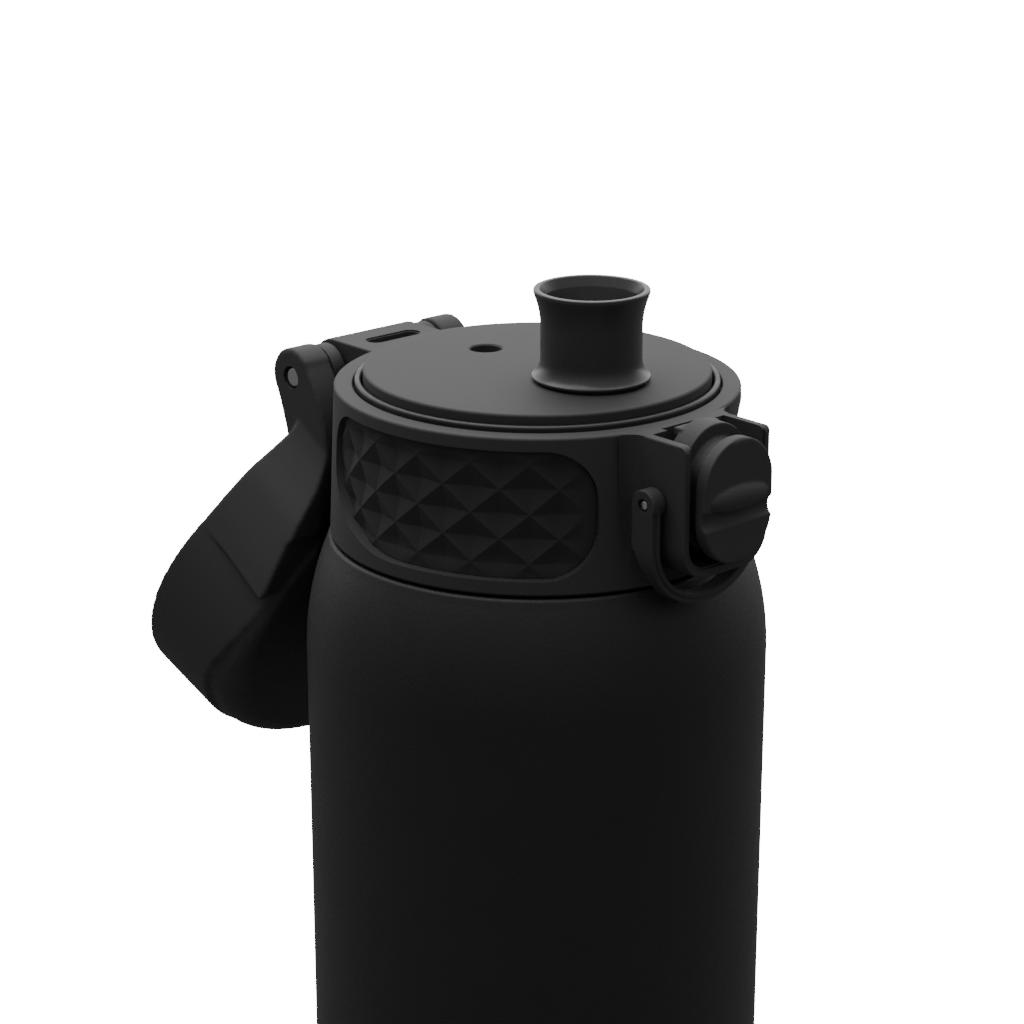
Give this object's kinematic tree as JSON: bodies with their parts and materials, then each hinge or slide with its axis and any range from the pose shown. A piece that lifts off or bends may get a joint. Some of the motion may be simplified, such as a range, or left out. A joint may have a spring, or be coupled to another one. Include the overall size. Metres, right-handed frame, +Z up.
{
  "type": "insulated drinking bottle with flip lid",
  "caption": "Insulated steel drinking bottle with a screw-on lid, covered pouring spout, rocking release button, swing-up lock loop and strap slot; shown with its cover hinged open.",
  "frame": {"origin": "centre of the base plate's flat underside, on the bottle's axis", "axes": "+Z up the bottle's axis; -Y towards the release button and +Y towards the cover's hinge; +X to the right seen from the front"},
  "size_m": [0.073, 0.1224, 0.2217],
  "materials": {
    "coated_steel": "fine matte powder coat, black",
    "bare_steel": "plain stainless steel, satin",
    "getter_metal": "dull sintered metal",
    "lid_plastic": "fine satin grain, black",
    "spout_plastic": "smooth, black",
    "grip_rubber": "matte, pressed diamonds",
    "seal_rubber": "matte silicone, black"
  },
  "bodies": {
    "bottle": {"outer_shell": "coated_steel", "inner_flask": "bare_steel", "base_plate": "bare_steel", "getter_disc": "getter_metal"},
    "gasket": {"neck_gasket": "seal_rubber"},
    "lid": {"lid_collar": "lid_plastic", "lid_deck": "lid_plastic", "deck_gasket": "seal_rubber", "spout": "spout_plastic", "vent_valve": "seal_rubber", "lid_plug": "lid_plastic", "grip_panel_left": "grip_rubber", "grip_panel_right": "grip_rubber", "hinge_pin": "bare_steel", "hinge_spring": "bare_steel", "button_pin": "bare_steel", "button_spring": "bare_steel", "loop_pin_left": "bare_steel", "loop_pin_right": "bare_steel"},
    "cover": {"cover_shell": "lid_plastic", "cover_liner": "lid_plastic", "spout_seal": "seal_rubber", "vent_seal": "seal_rubber"},
    "button": {"release_button": "lid_plastic"},
    "loop": {"lock_loop": "lid_plastic"}
  },
  "joints": [
    {"name": "lid_rise", "type": "slide", "parent": "bottle", "child": "gasket", "axis": [0, 0, 1], "range_m": [0, 0.006]},
    {"name": "lid_turn", "type": "hinge", "parent": "gasket", "child": "lid", "pos_m": [0, 0, 0.205], "axis": [0, 0, 1], "range_deg": [0, 540]},
    {"name": "cover_flip", "type": "hinge", "parent": "lid", "child": "cover", "pos_m": [0, 0.0401, 0.2001], "axis": [1, 0, 0], "range_deg": [0, 237], "deforming": ["hinge_spring"]},
    {"name": "button_press", "type": "hinge", "parent": "lid", "child": "button", "pos_m": [0, -0.0365, 0.193], "axis": [1, 0, 0], "range_deg": [0, 5], "stiffness_Nm_per_rad": 0.05},
    {"name": "loop_swing", "type": "hinge", "parent": "lid", "child": "loop", "pos_m": [0, -0.0351, 0.1957], "axis": [-1, 0, 0], "range_deg": [0, 180]}
  ],
  "couplings": [
    {"joint": "lid_rise", "follows": "lid_turn", "m_per_rad": 0.00063662}
  ]
}
